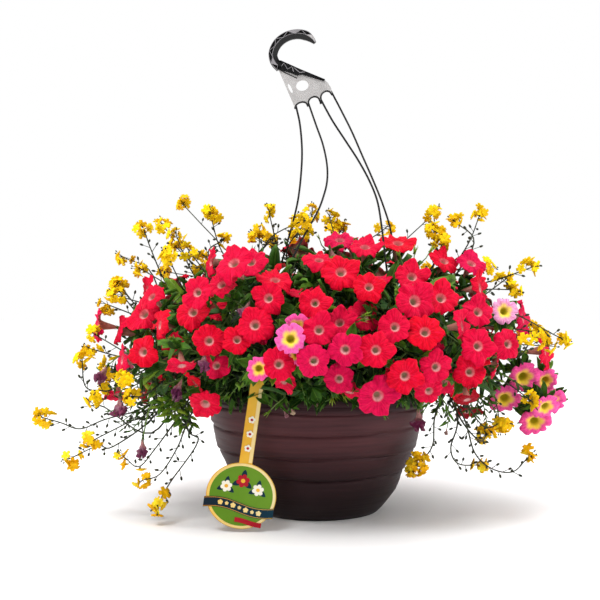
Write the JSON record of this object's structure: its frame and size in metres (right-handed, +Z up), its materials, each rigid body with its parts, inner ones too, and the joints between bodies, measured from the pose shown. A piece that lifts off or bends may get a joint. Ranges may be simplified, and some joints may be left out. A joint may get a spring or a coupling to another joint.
{
  "type": "flowering hanging basket",
  "caption": "Flowering hanging basket: banded round pot of soil with petunias, calibrachoas and trailing nemesias, a plastic hanger and a bent plant tag.",
  "frame": {"origin": "centre of the pot's flat underside", "axes": "+Z up; the view with the tag at front left looks along +Y; +X to that view's right, along the longest extent"},
  "size_m": [0.7334, 0.6357, 0.669],
  "materials": {
    "pot_plastic": "dark espresso-brown moulded plastic with a satin sheen and uneven turned bands",
    "soil": "dark peaty potting mix, matt and crumbly",
    "hanger_plastic": "black moulded plastic, slightly glossy",
    "tag_card": "printed plastic card, golden strip and a green disc with a cream border",
    "petunia": "coral-red velvety petals with fine veins, a pale throat ring, and soft green leaves and stems",
    "calibrachoa": "pink petals with a yellow throat, and soft green leaves and stems",
    "nemesia": "golden yellow florets on thin green stems"
  },
  "bodies": {
    "root": {"calibrachoa_back_left": "calibrachoa", "calibrachoa_back_right": "calibrachoa", "calibrachoa_far_right": "calibrachoa", "calibrachoa_middle": "calibrachoa", "calibrachoa_right": "calibrachoa", "hanger": "hanger_plastic", "hanger_hook": "hanger_plastic", "nemesia_back_1": "nemesia", "nemesia_back_2": "nemesia", "nemesia_back_3": "nemesia", "nemesia_back_4": "nemesia", "nemesia_back_5": "nemesia", "nemesia_back_6": "nemesia", "nemesia_left": "nemesia", "nemesia_left_crown": "nemesia", "nemesia_left_face": "nemesia", "nemesia_left_hanging": "nemesia", "nemesia_left_high": "nemesia", "nemesia_left_low": "nemesia", "nemesia_left_top": "nemesia", "nemesia_left_trail": "nemesia", "nemesia_right": "nemesia", "nemesia_right_crown": "nemesia", "nemesia_right_edge": "nemesia", "nemesia_right_hanging": "nemesia", "nemesia_right_high": "nemesia", "nemesia_right_low": "nemesia", "nemesia_right_top": "nemesia", "nemesia_top_left": "nemesia", "nemesia_top_mid": "nemesia", "nemesia_top_mid_left": "nemesia", "nemesia_top_right": "nemesia", "petunia_01": "petunia", "petunia_02": "petunia", "petunia_03": "petunia", "petunia_04": "petunia", "petunia_05": "petunia", "petunia_06": "petunia", "petunia_07": "petunia", "petunia_08": "petunia", "petunia_09": "petunia", "petunia_10": "petunia", "petunia_11": "petunia", "petunia_12": "petunia", "petunia_13": "petunia", "petunia_14": "petunia", "petunia_15": "petunia", "petunia_16": "petunia", "petunia_17": "petunia", "petunia_18": "petunia", "petunia_19": "petunia", "petunia_20": "petunia", "petunia_21": "petunia", "petunia_22": "petunia", "petunia_23": "petunia", "petunia_24": "petunia", "pot": "pot_plastic", "soil": "soil", "tag": "tag_card"}
  },
  "joints": []
}
